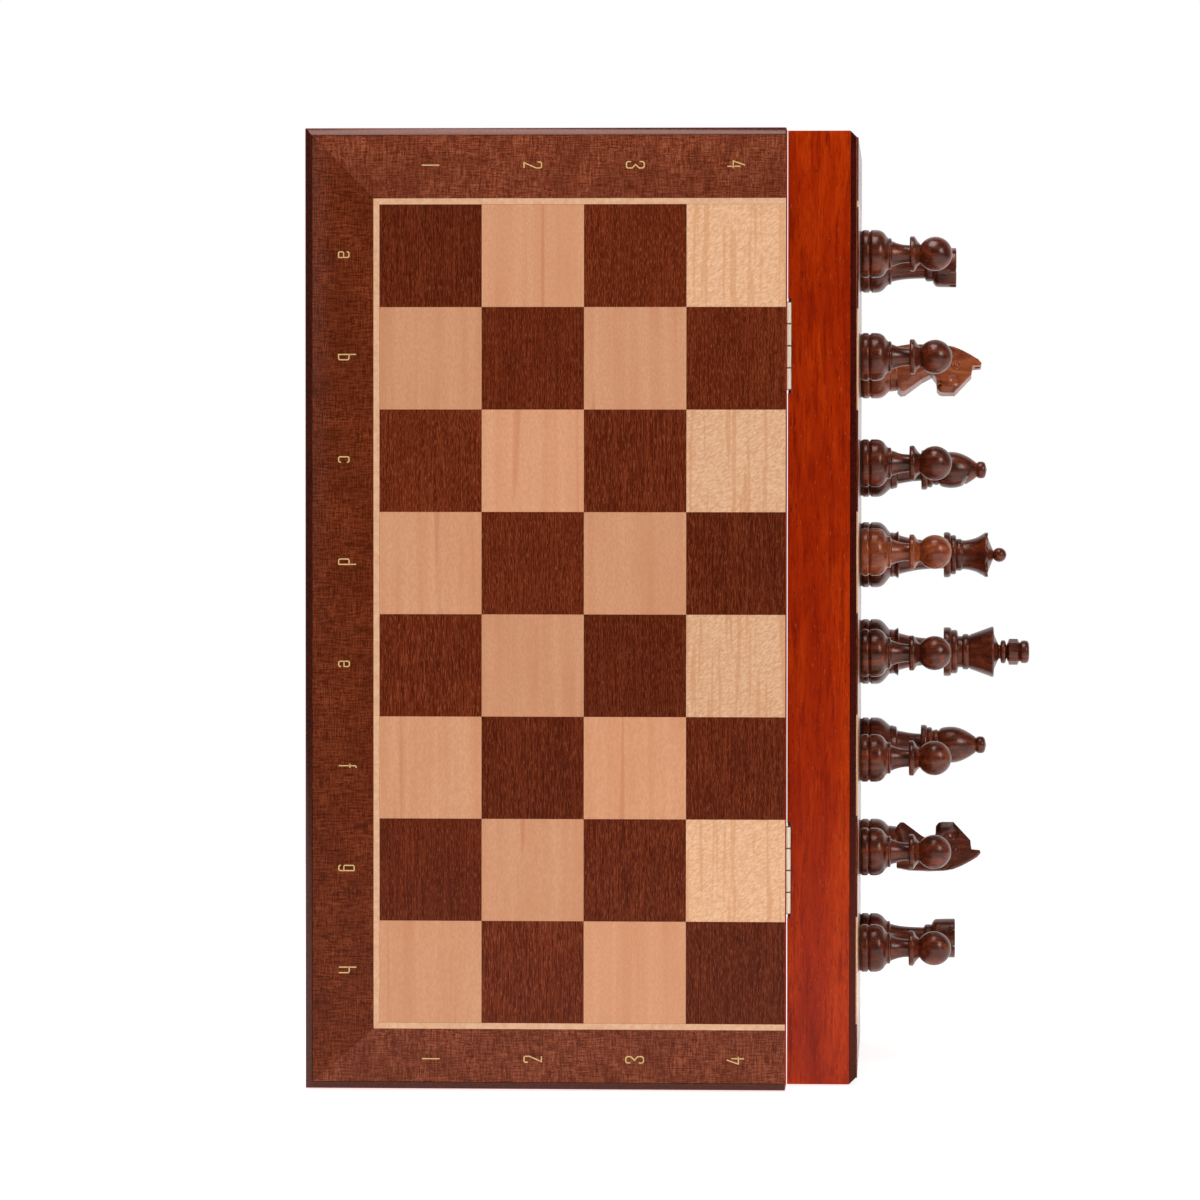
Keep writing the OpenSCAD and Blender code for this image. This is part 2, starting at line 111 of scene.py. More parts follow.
class Tree:
    """Short ways to add and join shader nodes."""

    def __init__(self, name):
        self.material = bpy.data.materials.new(name)
        self.material.use_nodes = True
        self.nodes = self.material.node_tree.nodes
        self.links = self.material.node_tree.links
        self.shader = self.nodes["Principled BSDF"]
        self.coords = self.nodes.new("ShaderNodeTexCoord").outputs["Object"]

    def put(self, socket, value):
        if isinstance(value, bpy.types.NodeSocket):
            self.links.new(value, socket)
        else:
            socket.default_value = value

    def scaled(self, scale, offset=(0, 0, 0), source=None, turn=(0, 0, 0)):
        """Coordinates in the object's own space, times scale."""
        node = self.nodes.new("ShaderNodeMapping")
        self.put(node.inputs["Vector"], source or self.coords)
        self.put(node.inputs["Scale"], scale)
        self.put(node.inputs["Location"], offset)
        self.put(node.inputs["Rotation"], turn)
        return node.outputs["Vector"]

    def noise(self, vector, scale, detail=4, roughness=0.55, distortion=0.0):
        node = self.nodes.new("ShaderNodeTexNoise")
        self.put(node.inputs["Vector"], vector)
        node.inputs["Scale"].default_value = scale
        node.inputs["Detail"].default_value = detail
        node.inputs["Roughness"].default_value = roughness
        node.inputs["Distortion"].default_value = distortion
        return node.outputs["Fac"]

    def axis(self, index):
        """One of the object's own coordinates."""
        node = self.nodes.new("ShaderNodeSeparateXYZ")
        self.put(node.inputs[0], self.coords)
        return node.outputs[index]

    def combine(self, x, y, z):
        node = self.nodes.new("ShaderNodeCombineXYZ")
        for socket, value in zip(node.inputs, (x, y, z)):
            self.put(socket, value)
        return node.outputs[0]

    def tone(self, colour, factor):
        """A colour made lighter or darker."""
        scaled = self.vector("SCALE", colour)
        self.put(scaled.node.inputs["Scale"], factor)
        return scaled

    def math(self, operation, a, b=0.0):
        node = self.nodes.new("ShaderNodeMath")
        node.operation = operation
        self.put(node.inputs[0], a)
        self.put(node.inputs[1], b)
        return node.outputs[0]

    def vector(self, operation, a, b=(0, 0, 0)):
        node = self.nodes.new("ShaderNodeVectorMath")
        node.operation = operation
        self.put(node.inputs[0], a)
        self.put(node.inputs[1], b)
        return node.outputs["Value" if operation in ("DOT_PRODUCT", "LENGTH") else "Vector"]

    def ramp(self, factor, stops):
        """Colours at places along a factor: [(place, (r, g, b)), ...]."""
        node = self.nodes.new("ShaderNodeValToRGB")
        self.put(node.inputs["Fac"], factor)
        elements = node.color_ramp.elements
        for place, _ in stops[2:]:
            elements.new(place)
        for element, (place, colour) in zip(elements, stops):
            element.position = place
            element.color = (*colour, 1)
        return node.outputs["Color"]

    def step(self, factor, low, high, to_low=0.0, to_high=1.0):
        """Maps a factor smoothly from low..high to to_low..to_high."""
        node = self.nodes.new("ShaderNodeMapRange")
        node.interpolation_type = "SMOOTHSTEP"
        self.put(node.inputs["Value"], factor)
        for name, value in zip(("From Min", "From Max", "To Min", "To Max"), (low, high, to_low, to_high)):
            node.inputs[name].default_value = value
        return node.outputs["Result"]

    def mix(self, factor, a, b, blend="MIX"):
        node = self.nodes.new("ShaderNodeMix")
        node.data_type = "RGBA"
        node.blend_type = blend
        self.put(node.inputs["Factor"], factor)
        sockets = [s for s in node.inputs if s.type == "RGBA"]
        for socket, value in zip(sockets, (a, b)):
            self.put(socket, (*value, 1) if isinstance(value, tuple) and len(value) == 3 else value)
        return [s for s in node.outputs if s.type == "RGBA"][0]

    def bump(self, height, strength, distance):
        node = self.nodes.new("ShaderNodeBump")
        node.inputs["Strength"].default_value = strength
        node.inputs["Distance"].default_value = distance
        self.put(node.inputs["Height"], height)
        self.put(self.shader.inputs["Normal"], node.outputs["Normal"])

    def finish(self, colour, roughness, **settings):
        self.put(self.shader.inputs["Base Color"], colour)
        self.put(self.shader.inputs["Roughness"], roughness)
        for name, value in settings.items():
            self.shader.inputs[name.replace("_", " ")].default_value = value
        return self.material


def srgb(r, g, b):
    """A display colour, 0 to 255, as linear light."""
    return tuple(Color((c / 255,) * 3).from_srgb_to_scene_linear()[0] for c in (r, g, b))


def shade(colour, factor):
    return tuple(c * factor for c in colour)


# -------------------------------------------------------- materials


def stretch(axis, along, across):
    """A scale that draws a texture out along one axis."""
    return tuple(along if i == axis else across for i in range(3))


def square_cells(t, half):
    """A random number for each playing square, and coordinates shifted by it."""
    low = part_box(f"light_squares_{half}")[0]
    axis = 0 if half == "a" else 1
    # the squares at the fold are narrower by what the saw took off
    start = -(FOLD_A + FOLD_TRIM) if half == "a" else FOLD_B - FOLD_TRIM
    away = t.math("MULTIPLY", t.axis(axis), -1 if half == "a" else 1)
    rank = t.math("FLOOR", t.math("DIVIDE", t.math("SUBTRACT", away, start), SQUARE))
    rank = t.math("MINIMUM", t.math("MAXIMUM", rank, 0), 3)
    file = t.math("FLOOR", t.math("DIVIDE", t.math("SUBTRACT", t.axis(2), low.z), SQUARE))
    cell = t.combine(rank, file, 7.0 if half == "a" else 19.0)
    chance = t.nodes.new("ShaderNodeTexWhiteNoise")
    t.put(chance.inputs["Vector"], cell)
    shifted = t.vector("ADD", t.coords, chance.outputs["Color"])
    return rank, chance.outputs["Value"], shifted


def dark_square_wood(half):
    """Dark mahogany veneer with fine upright flecks, a little different from square to square."""
    t = Tree(f"dark_veneer_{half}")
    _, chance, shifted = square_cells(t, half)
    streaks = t.noise(t.scaled((2300, 2300, 60), source=shifted), 1.0, 3, 0.65, 0.3)
    pores = t.noise(t.scaled((3300, 3300, 400), source=shifted), 1.0, 2, 0.6)
    broad = t.noise(t.scaled((110, 110, 12), source=shifted), 1.0, 2, 0.5)
    colour = t.ramp(streaks, [(0.38, srgb(84, 29, 11)), (0.5, srgb(101, 38, 17)), (0.6, srgb(120, 50, 26))])
    colour = t.mix(t.step(broad, 0.35, 0.65, 0.45, 0.0), colour, srgb(88, 32, 13))
    colour = t.mix(t.step(pores, 0.56, 0.64, 0.0, 0.6), colour, srgb(150, 78, 46))
    colour = t.mix(t.step(pores, 0.44, 0.36, 0.0, 0.7), colour, srgb(60, 17, 6))
    colour = t.tone(colour, t.step(chance, 0.0, 1.0, 0.85, 1.14))
    t.bump(pores, 0.3, 0.00003)
    return t.finish(colour, 0.2, Specular_IOR_Level=0.08)


def light_square_wood(half):
    """Pale veneer. The squares beside the fold are paler, with a fine slanting ripple."""
    t = Tree(f"light_veneer_{half}")
    rank, chance, shifted = square_cells(t, half)
    streaks = t.noise(t.scaled((190, 190, 7), source=shifted), 1.0, 3, 0.55, 0.4)
    fine = t.noise(t.scaled((1600, 1600, 700), source=shifted), 1.0, 2, 0.6)
    cloud = t.noise(t.scaled((60, 60, 30), source=shifted), 1.0, 3, 0.5)
    pink = t.noise(t.scaled((110, 110, 3), source=shifted), 1.0, 2, 0.5, 0.6)
    colour = t.ramp(streaks, [(0.3, srgb(208, 145, 107)), (0.5, srgb(214, 154, 116)),
                              (0.7, srgb(220, 163, 126))])
    colour = t.mix(t.step(cloud, 0.35, 0.65, 0.0, 0.35), colour, srgb(222, 164, 126))
    colour = t.mix(t.step(fine, 0.38, 0.62, 0.4, 0.0), colour, srgb(200, 134, 96))
    colour = t.mix(t.step(pink, 0.64, 0.7, 0.0, 0.5), colour, srgb(196, 120, 88))
    colour = t.tone(colour, t.step(chance, 0.0, 1.0, 0.95, 1.06))
    across = 1 if half == "b" else 0
    slant = t.scaled((1, 1, 1), turn=(0, 0.6, 0) if half == "a" else (0.6, 0, 0))
    ripple = t.noise(t.scaled(stretch(across, 650, 1600), source=slant), 1.0, 2, 0.5, 0.5)
    rays = t.noise(t.scaled((460, 460, 16), source=shifted), 1.0, 2, 0.5, 0.5)
    figured = t.ramp(ripple, [(0.34, srgb(218, 164, 124)), (0.5, srgb(229, 178, 139)),
                              (0.66, srgb(239, 194, 157))])
    figured = t.mix(t.step(rays, 0.53, 0.62, 0.0, 0.55), figured, srgb(214, 152, 108))
    figured = t.tone(figured, t.step(chance, 0.0, 1.0, 0.92, 1.05))
    at_fold = t.math("LESS_THAN", rank, 0.5)
    t.bump(fine, 0.2, 0.00003)
    return t.finish(t.mix(at_fold, colour, figured), 0.2, Specular_IOR_Level=0.14)


def border_wood(name, along, across, tones):
    """Figured brown-red veneer: fine fibres along the strip, crossed by a fiddleback ripple."""
    t = Tree(name)
    deep, mid, pale, fleck = tones
    fibres = t.noise(t.scaled(stretch(along, 160, 2300)), 1.0, 2, 0.6, 0.2)
    scale = [2300, 2300, 2300]
    scale[along], scale[across] = 1700, 200
    ripple = t.noise(t.scaled(tuple(scale)), 1.0, 2, 0.6, 0.8)
    waves = t.noise(t.scaled(stretch(across, 70, 330)), 1.0, 3, 0.6, 1.2)
    specks = t.noise(t.scaled(stretch(along, 1000, 2600)), 1.0, 2, 0.55)
    cloud = t.noise(t.scaled((55, 55, 55)), 1.0, 3, 0.55, 0.5)
    weave = t.math("ADD", t.math("MULTIPLY", fibres, 0.5), t.math("MULTIPLY", ripple, 0.5))
    colour = t.ramp(weave, [(0.41, deep), (0.5, mid), (0.59, pale)])
    colour = t.mix(t.step(specks, 0.58, 0.68, 0.0, 0.55), colour, fleck)
    colour = t.mix(t.step(waves, 0.56, 0.68, 0.0, 0.5), colour, shade(deep, 0.7))
    colour = t.mix(t.step(cloud, 0.35, 0.65, 0.4, 0.0), colour, deep)
    t.bump(weave, 0.35, 0.00004)
    return t.finish(colour, 0.2, Specular_IOR_Level=0.08)


def stringing_wood():
    t = Tree("maple_stringing")
    fibres = t.noise(t.scaled((600, 600, 600)), 1.0, 3, 0.6)
    colour = t.ramp(fibres, [(0.3, srgb(218, 164, 126)), (0.7, srgb(234, 188, 152))])
    return t.finish(colour, 0.22, Specular_IOR_Level=0.14)


def stained_rail(name, along, shine=0.16):
    """Red-orange stain on open-pored wood, under gloss lacquer, or bare where shine is 0."""
    t = Tree(name)
    broad = t.noise(t.scaled(stretch(along, 12, 80)), 1.0, 4, 0.6, 0.8)
    streaks = t.noise(t.scaled(stretch(along, 30, 420)), 1.0, 3, 0.6, 0.4)
    fibres = t.noise(t.scaled(stretch(along, 150, 1500)), 1.0, 3, 0.65)
    pores = t.noise(t.scaled(stretch(along, 330, 1900)), 1.0, 2, 0.5)
    colour = t.ramp(broad, [(0.3, srgb(154, 35, 0)), (0.5, srgb(178, 48, 1)), (0.7, srgb(206, 69, 4))])
    colour = t.mix(t.step(streaks, 0.5, 0.66, 0.0, 0.5), colour, srgb(122, 20, 0))
    colour = t.mix(t.step(fibres, 0.5, 0.66, 0.0, 0.45), colour, srgb(116, 17, 0))
    colour = t.mix(t.step(pores, 0.67, 0.73, 0.0, 0.7), colour, srgb(70, 8, 0))
    colour = t.mix(t.step(pores, 0.33, 0.28, 0.0, 0.5), colour, srgb(196, 96, 56))
    t.bump(pores, 0.5, -0.00006)
    return t.finish(colour, 0.2, Specular_IOR_Level=shine)


def panel_edge_wood(name, dark, pale):
    """The stained edge of the panel, under gloss lacquer."""
    t = Tree(name)
    fibres = t.noise(t.scaled((900, 900, 900)), 1.0, 3, 0.6)
    streaks = t.noise(t.scaled((400, 400, 20)), 1.0, 2, 0.5)
    colour = t.ramp(fibres, [(0.35, dark), (0.65, pale)])
    colour = t.mix(t.step(streaks, 0.5, 0.75, 0.0, 0.4), colour, shade(pale, 1.4))
    t.bump(fibres, 0.2, 0.00003)
    return t.finish(colour, 0.2, Specular_IOR_Level=0.42, Specular_Tint=(1, 0.5, 0.4, 1))


def piece_wood(name, deep, mid, pale):
    """Turned wood with fibres along the piece's axis, under satin lacquer."""
    t = Tree(name)
    broad = t.noise(t.scaled((45, 210, 210)), 1.0, 4, 0.6, 1.2)
    rings = t.noise(t.scaled((70, 420, 420)), 1.0, 2, 0.5, 1.5)
    fibres = t.noise(t.scaled((420, 2300, 2300)), 1.0, 3, 0.65)
    colour = t.ramp(broad, [(0.32, deep), (0.5, mid), (0.68, pale)])
    colour = t.mix(t.step(rings, 0.5, 0.62, 0.0, 0.3), colour, deep)
    colour = t.mix(t.step(fibres, 0.5, 0.7, 0.0, 0.4), colour, shade(deep, 0.7))
    t.bump(fibres, 0.2, 0.00003)
    return t.finish(colour, t.step(fibres, 0.4, 0.7, 0.25, 0.35), Specular_IOR_Level=0.58,
                    Specular_Tint=(1, 0.78, 0.7, 1))


def felt():
    t = Tree("felt_pad")
    nap = t.noise(t.scaled((2500, 2500, 2500)), 1.0, 3, 0.6)
    colour = t.ramp(nap, [(0.3, srgb(20, 16, 15)), (0.7, srgb(44, 38, 36))])
    t.bump(nap, 0.4, 0.0001)
    return t.finish(colour, 0.95, Sheen_Weight=0.3)


def foam():
    t = Tree("foam_insert")
    cells = t.noise(t.scaled((1800, 1800, 1800)), 1.0, 3, 0.7)
    cloud = t.noise(t.scaled((25, 25, 25)), 1.0, 2, 0.5)
    colour = t.ramp(cells, [(0.3, srgb(26, 25, 26)), (0.7, srgb(58, 56, 57))])
    colour = t.mix(t.step(cloud, 0.3, 0.7, 0.0, 0.3), colour, srgb(34, 32, 33))
    t.bump(cells, 0.5, 0.00015)
    return t.finish(colour, 0.95, Sheen_Weight=0.2)


def brass():
    """Brass plate painted near white, a painted highlight of its shine, under a soft, worn lacquer, with
    painted shadow lines between the hinge knuckles.
    """
    t = Tree("brass")
    from_middle = t.math("ABSOLUTE", t.math("SUBTRACT", t.axis(2), SIDE / 2))
    along_hinge = t.math("DIVIDE", t.math("SUBTRACT", from_middle, HINGE_FROM_MIDDLE), HINGE_LENGTH / 4)
    to_joint = t.math("PINGPONG", along_hinge, 0.5)
    across = t.math("SUBTRACT", t.axis(0), PIN_AXIS.x), t.math("SUBTRACT", t.axis(1), PIN_AXIS.y)
    from_pin = t.math("SQRT", t.math("ADD", *(t.math("MULTIPLY", d, d) for d in across)))
    brushed = t.noise(t.scaled((900, 900, 60)), 1.0, 2, 0.5)
    # Painted highlight: the near-white colour stands in for the shine of the brass
    colour = t.ramp(brushed, [(0.3, srgb(252, 240, 206)), (0.7, srgb(255, 252, 232))])
    on_knuckle = t.math("LESS_THAN", from_pin, KNUCKLE_REACH)
    line = t.math("MULTIPLY", on_knuckle, t.step(to_joint, 0.02, 0.05, 0.9, 0.0))
    colour = t.mix(line, colour, srgb(70, 44, 24))
    return t.finish(colour, t.step(brushed, 0.3, 0.7, 0.25, 0.4), Metallic=0.1)


def nickel(name, tone, roughness):
    t = Tree(name)
    brushed = t.noise(t.scaled((1200, 1200, 80)), 1.0, 2, 0.5)
    colour = t.ramp(brushed, [(0.3, shade(tone, 0.85)), (0.7, tone)])
    return t.finish(colour, roughness, Metallic=0.6)


def gold_inlay():
    t = Tree("inlay_pale_gold")
    speck = t.noise(t.scaled((1500, 1500, 1500)), 1.0, 2, 0.5)
    colour = t.ramp(speck, [(0.3, srgb(212, 172, 108)), (0.7, srgb(236, 202, 140))])
    return t.finish(colour, 0.5, Specular_IOR_Level=0.3)


# -------------------------------------------------------- mesh helpers


def add_object(name, data):
    """A new object in the scene."""
    item = bpy.data.objects.new(name, data)
    bpy.context.scene.collection.objects.link(item)
    return item


def plain_mesh(name, bm):
    """Writes a bmesh as a mesh."""
    mesh = bpy.data.meshes.new(name)
    bm.to_mesh(mesh)
    bm.free()
    return mesh


def make_piece(name, mesh, body, material):
    """A visible piece that rides on a body, with the given material when its mesh has none."""
    piece = add_object(name, mesh)
    if not piece.data.materials:
        piece.data.materials.append(material)
    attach(piece, body)
    return piece


def mesh_from(name, bm, matrix, sharp_over=30):
    """Writes a bmesh as a mesh, in place, smooth apart from its real corners."""
    bm.transform(matrix)
    bmesh.ops.recalc_face_normals(bm, faces=bm.faces)
    for face in bm.faces:
        face.smooth = True
    for edge in bm.edges:
        if len(edge.link_faces) == 2 and edge.calc_face_angle(0) > math.radians(sharp_over):
            edge.smooth = False
    return plain_mesh(name, bm)


def eased(node, width, material, segments=2):
    """A copy of a CAD node with its sharp edges eased, standing for the node."""
    source = frame["nodes"][node]
    bm = bmesh.new()
    bm.from_mesh(source.data)
    bmesh.ops.remove_doubles(bm, verts=bm.verts, dist=0.002 * MM)
    bmesh.ops.dissolve_limit(bm, angle_limit=math.radians(1), verts=bm.verts, edges=bm.edges)
    corners = [e for e in bm.edges if len(e.link_faces) == 2 and e.calc_face_angle(0) > math.radians(40)]
    bmesh.ops.bevel(bm, geom=corners, offset=width, segments=segments, profile=0.5, affect="EDGES",
                    clamp_overlap=True)
    mesh = mesh_from(node + "_eased", bm, Matrix.Identity(4), sharp_over=20)
    piece = make_piece(node + "_eased", mesh, source["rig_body"], material)
    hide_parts(node)
    return piece


def soften(corners):
    """A smooth outline from corners (r, h, trim): trim is how far the rounding reaches, in mm."""
    points = [Vector(c[:2]) for c in corners]
    out = [points[0]]
    for i in range(1, len(points) - 1):
        before, here, after = points[i - 1], points[i], points[i + 1]
        a, b = before - here, after - here
        reach_a = min(corners[i][2], a.length / 2)
        reach_b = min(corners[i][2], b.length / 2)
        if corners[i][2] <= 0.01:
            out.append(here)
            continue
        start, end = here + a.normalized() * reach_a, here + b.normalized() * reach_b
        steps = 6 if corners[i][2] > 0.5 else 4
        for k in range(steps + 1):
            s = k / steps
            out.append(start * (1 - s) ** 2 + here * 2 * s * (1 - s) + end * s * s)
    out.append(points[-1])
    clean = [out[0]]
    for p in out[1:]:
        if (p - clean[-1]).length > 0.01:
            clean.append(p)
    return clean


def arc(r0, h0, radius, start, end, steps=14):
    """Corners along an arc about (r0, h0), from angle start to end in degrees."""
    turn = [math.radians(start + (end - start) * i / steps) for i in range(steps + 1)]
    return [(r0 + radius * math.cos(a), h0 + radius * math.sin(a), 0) for a in turn]


def lathe(bm, corners, segments=80):
    """Turns an outline about the Z axis, in mm. It starts and ends on the axis."""
    outline = soften(corners)
    rings = []
    for p in outline:
        if p.x < 1e-4:
            rings.append([bm.verts.new((0, 0, p.y))])
        else:
            rings.append([bm.verts.new((p.x * math.cos(a), p.x * math.sin(a), p.y))
                          for a in (2 * math.pi * i / segments for i in range(segments))])
    for lower, upper in zip(rings, rings[1:]):
        for i in range(segments):
            j = (i + 1) % segments
            quad = [lower[i % len(lower)], lower[j % len(lower)],
                    upper[j % len(upper)], upper[i % len(upper)]]
            face = list(dict.fromkeys(quad))
            if len(face) > 2:
                bm.faces.new(face)


# -------------------------------------------------------- chess pieces

PAD_TOP = 0.65
BASE_R = {"pawn": 9.9, "rook": 10.5, "knight": 11.0, "bishop": 11.4, "queen": 13.75, "king": 13.7}
SMOOTH = 9


def base(r, top, lip_r, lip_h):
    """Two rings with a groove, then a hollow shoulder up to a small lip."""
    span = r - lip_r
    return [
        (0, PAD_TOP, 0), (r - 0.5, PAD_TOP, 0.2), (r, PAD_TOP + 0.7, 0.6), (r, 3.4, 0.6),
        (r - 0.9, 4.0, 0.12),
        (r, 4.6, 0.6), (r, top, 2.2), (lip_r + 0.68 * span, top + 2.0, SMOOTH),
        (lip_r + 0.2 * span, lip_h - 1.9, SMOOTH), (lip_r - 0.1, lip_h - 1.0, 0.3),
        (lip_r + 0.15, lip_h - 0.6, 0.3), (lip_r, lip_h, 0.3),
    ]


def ring(r, low, high):
    """A bead around the stem."""
    return [(r, low, (high - low) * 0.45), (r, high, (high - low) * 0.45)]


PROFILES = {
    "pawn": base(9.9, 7.9, 6.4, 12.8) + [
        (5.3, 13.1, 0.2), (4.4, 15.3, SMOOTH), (3.8, 17.6, SMOOTH), (3.6, 20.4, 0.1), (6.9, 20.5, 0.2),
        (7.3, 20.9, 0.4), (7.3, 22.3, 0.4), (6.8, 22.7, 0.3), (4.8, 24.0, 0.3), (4.4, 24.5, 0.2)]
        + arc(0, 31, 7.1, -58, 90, 18),
    "rook": base(10.5, 7.4, 7.1, 12.6) + [
        (5.9, 13, 0.2), (5.2, 16, SMOOTH), (4.7, 20, SMOOTH), (4.5, 26.8, 0.3), (5.3, 27.2, 0.4)]
        + ring(5.8, 27.6, 29.8) + [(5.6, 30.1, 0.1), (6.6, 30.4, 0.3), (7.8, 31.3, 0.4), (8.1, 32.2, 0.3),
                                   (8.3, 39.7, 0.2), (8, 40, 0.2), (5.5, 40, 0.2), (5.2, 36.6, 0.4),
                                   (0, 35.9, 0)],
    "bishop": base(11.4, 8.0, 8.0, 13.6) + [
        (7.6, 15.2, 0.3), (5.9, 15.7, 0.2), (5.3, 19, SMOOTH), (4.8, 22, SMOOTH), (4.6, 25.4, 0.2),
        (7.9, 25.5, 0.4)]
        + ring(8.35, 25.7, 27.8) + [(7.0, 28.3, 0.1)] + ring(7.4, 28.6, 29.9) + [(5.9, 30.6, 0.2)]
        + ring(6.4, 31.2, 32.6) + [(5.7, 32.9, 0.1), (7.0, 33.7, 1.2), (7.7, 37.2, SMOOTH), (7.4, 41, SMOOTH),
                                   (5.7, 45, SMOOTH), (3.4, 48.3, 0.5), (2.9, 48.6, 0.2), (3.6, 49.6, 0.9),
                                   (3.5, 52.2, 1.4), (0, 53, 0)],
    "queen": base(13.75, 8.2, 9.3, 13.6) + [
        (9.1, 14.4, 0.5), (10, 15.9, 0.12), (8.2, 16.3, 0.3), (7.2, 20, SMOOTH), (6.1, 26, SMOOTH),
        (5.8, 34.9, 0.3), (9, 35, 0.4)]
        + ring(9.55, 35.2, 37.6) + [(8.0, 38.1, 0.1)] + ring(8.3, 38.4, 40) + [(6.5, 40.4, 0.1)]
        + ring(6.75, 40.8, 42.2) + [(6.1, 42.8, 0.3), (6.1, 44.5, SMOOTH), (7.0, 48.4, SMOOTH),
                                    (8.6, 51.2, 0.5), (9.4, 52.4, 0.4), (9.4, 53.6, 0.2), (8.2, 53.3, 0.3),
                                    (6, 54, 0.6), (3.0, 55.2, 0.4), (2.0, 55.7, 0.2)]
        + arc(0, 58.3, 3, -60, 90, 10),
    "king": base(13.7, 7.9, 9.3, 13.4) + [
        (9.1, 14.2, 0.5), (10.2, 15.9, 0.12), (7.8, 16.3, 0.3), (6.8, 20, SMOOTH), (5.8, 25, SMOOTH),
        (5.3, 34.9, 0.3), (9.7, 35, 0.4)]
        + ring(10.3, 35.2, 38) + [(8.9, 38.4, 0.1)] + ring(9.2, 38.7, 40.7)
        + [(6.6, 41.2, 0.1), (6.6, 42.8, 0.1)]
        + ring(7.5, 43.2, 45.3) + [(6.8, 45.7, 0.1), (7.3, 46.2, 0.5), (9.1, 51.2, SMOOTH), (10.7, 55.4, 0.3),
                                   (10.4, 56, 0.3), (7.4, 56.2, 0.6), (5, 57.2, 0.6), (2.9, 58.2, 0.3),
                                   (3, 58.8, 0.2)] + ring(4.9, 59.1, 60.9) + [(3.1, 61.3, 0.2), (0, 61.4, 0)],
}
# The king's finial: an eight-sided block below a round button
FINIAL_BLOCK = [(0, 61.2, 0), (2.6, 61.3, 0.2), (4.4, 62.1, 0.3), (5.45, 62.5, 0.2), (5.45, 66.1, 0.2),
                (4.6, 66.4, 0.3), (3.5, 67.2, 0.2), (0, 67.3, 0)]
FINIAL = ([(0, 66.6, 0), (3.6, 66.8, 0.3), (4.2, 67.3, 0.2)] + ring(4.8, 67.8, 70.2)
          + [(3.4, 70.9, 0.5), (0, 71, 0)])


def cut(target, cutters, keep_name):
    """Subtracts other meshes from a mesh."""
    body = add_object(keep_name, target)
    tools = []
    for k, mesh in enumerate(cutters):
        tool = add_object(f"{keep_name}_tool{k}", mesh)
        modifier = body.modifiers.new(f"cut{k}", "BOOLEAN")
        modifier.operation = "DIFFERENCE"
        modifier.solver = "EXACT"
        modifier.object = tool
        tools.append(tool)
    bpy.context.view_layer.update()
    result = bpy.data.meshes.new_from_object(body.evaluated_get(bpy.context.evaluated_depsgraph_get()))
    for item in [body] + tools:
        bpy.data.objects.remove(item)
    return result


def block(size, matrix):
    """A box of that size, moved by a matrix, as a mesh to cut with."""
    bm = bmesh.new()
    bmesh.ops.create_cube(bm, size=1, matrix=matrix @ Matrix.Diagonal((*size, 1)))
    return plain_mesh("block", bm)


def ball(radius, place):
    """A ball as a mesh to cut with."""
    bm = bmesh.new()
    bmesh.ops.create_uvsphere(bm, u_segments=24, v_segments=16, radius=radius,
                              matrix=Matrix.Translation(place))
    return plain_mesh("ball", bm)


def turn_z(degrees):
    return Matrix.Rotation(math.radians(degrees), 4, "Z")


def wood_body(kind):
    """The wooden part of a piece, in mm, standing on z = 0."""
    bm = bmesh.new()
    if kind == "knight":
        lathe(bm, base(11, 8.0, 8, 13.2) + [(7.8, 15, 0.3), (7.2, 15.8, 0.3), (0, 15.9, 0)])
    else:
        lathe(bm, PROFILES[kind])
    if kind == "king":
        lathe(bm, FINIAL_BLOCK, segments=8)
        lathe(bm, FINIAL, segments=48)
    bmesh.ops.recalc_face_normals(bm, faces=bm.faces)
    mesh = plain_mesh(kind, bm)
    if kind == "knight":
        head = knight_head()
        bm = bmesh.new()
        bm.from_mesh(mesh)
        bm.from_mesh(head)
        knight_eyes(bm)
        bm.to_mesh(mesh)
        bm.free()
    if kind == "rook":
        notches = [block((20, 1.8, 4), turn_z(a) @ Matrix.Translation((0, 0, 39.3))) for a in (0, 60, 120)]
        mesh = cut(mesh, notches, kind)
    if kind == "bishop":
        tilt = Matrix.Translation((6.5, 0, 43)) @ Matrix.Rotation(math.radians(35), 4, "Y")
        mesh = cut(mesh, [block((11, 20, 1), tilt)], kind)
    if kind == "queen":
        scallops = [ball(2.3, turn_z(40 * i) @ Vector((9.8, 0, 54.4))) for i in range(9)]
        mesh = cut(mesh, scallops, kind)
    return mesh


# The knight's sawn outline, counter-clockwise: (towards the muzzle, height)
KNIGHT = [(-9.8, 15.4), (7.6, 15.4), (9.3, 17), (9.3, 18.4), (3.8, 25.8), (1.6, 30), (3.4, 31.4), (5, 31.8),
          (7.8, 31.9), (9.2, 33), (9.6, 34.4), (9.6, 39.2), (1.9, 46.4), (-0.4, 46.6), (-1.9, 46.9),
          (-2.2, 50.3), (-3.4, 50.7), (-5, 49.3), (-7, 46), (-8.8, 42.6), (-10.2, 39.2), (-10.9, 35.2),
          (-11.1, 29), (-10.8, 20.9)]
# Where the edges are pared away: (first point, last point, width on the side, depth of the cut)
PARED = ((2, 5, 2.7, 1.6), (7, 11, 2.3, 1.5), (11, 12, 0.5, 0.4), (16, 23, 0.8, 0.7))
# The head's foot, half its thickness there, and how much that narrows per mm of height
KNIGHT_FOOT, KNIGHT_FOOT_HALF = 15, 6.1
KNIGHT_TAPER = 0.078
# Places on the head: (towards the muzzle, height)
EYE = (-2, 40)
CHEEK = (4.7, 39.4)
MANE = (-9.6, 37.6)
EAR = (-2.1, 48.8)


def knight_half(height):
    """Half the thickness of the knight's head at a height."""
    return KNIGHT_FOOT_HALF - KNIGHT_TAPER * (height - KNIGHT_FOOT)


